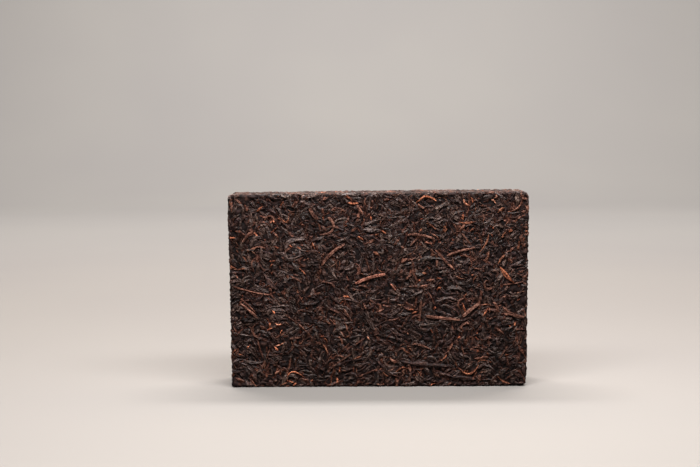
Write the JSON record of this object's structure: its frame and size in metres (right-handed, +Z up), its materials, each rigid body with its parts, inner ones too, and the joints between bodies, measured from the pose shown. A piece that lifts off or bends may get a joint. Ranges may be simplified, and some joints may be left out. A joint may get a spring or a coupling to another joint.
{
  "type": "pu erh tea brick",
  "caption": "Rectangular brick of compressed dark tea leaf, standing on one of its long narrow sides, with softly broken edges and uneven corners.",
  "frame": {"origin": "middle of the flat underside, on the surface that the brick stands on", "axes": "+X along the width, to the right of someone who faces the front broad face; +Y through the thickness, from the front broad face to the back one; +Z up the height"},
  "size_m": [0.1399, 0.023, 0.0915],
  "materials": {
    "pressed_leaf": "matte, dark brown pressed leaf",
    "dark_leaf": "dark brown twisted leaf with a faint grey sheen",
    "brown_leaf": "mid brown twisted leaf, satin",
    "flat_leaf": "grey-brown flattened leaf with fine creases",
    "golden_bud": "orange-brown leaf bud, matte and faintly downy",
    "stem": "reddish tan woody stalk, ribbed along its length"
  },
  "bodies": {
    "root": {"tea_brick": "pressed_leaf"}
  },
  "joints": []
}
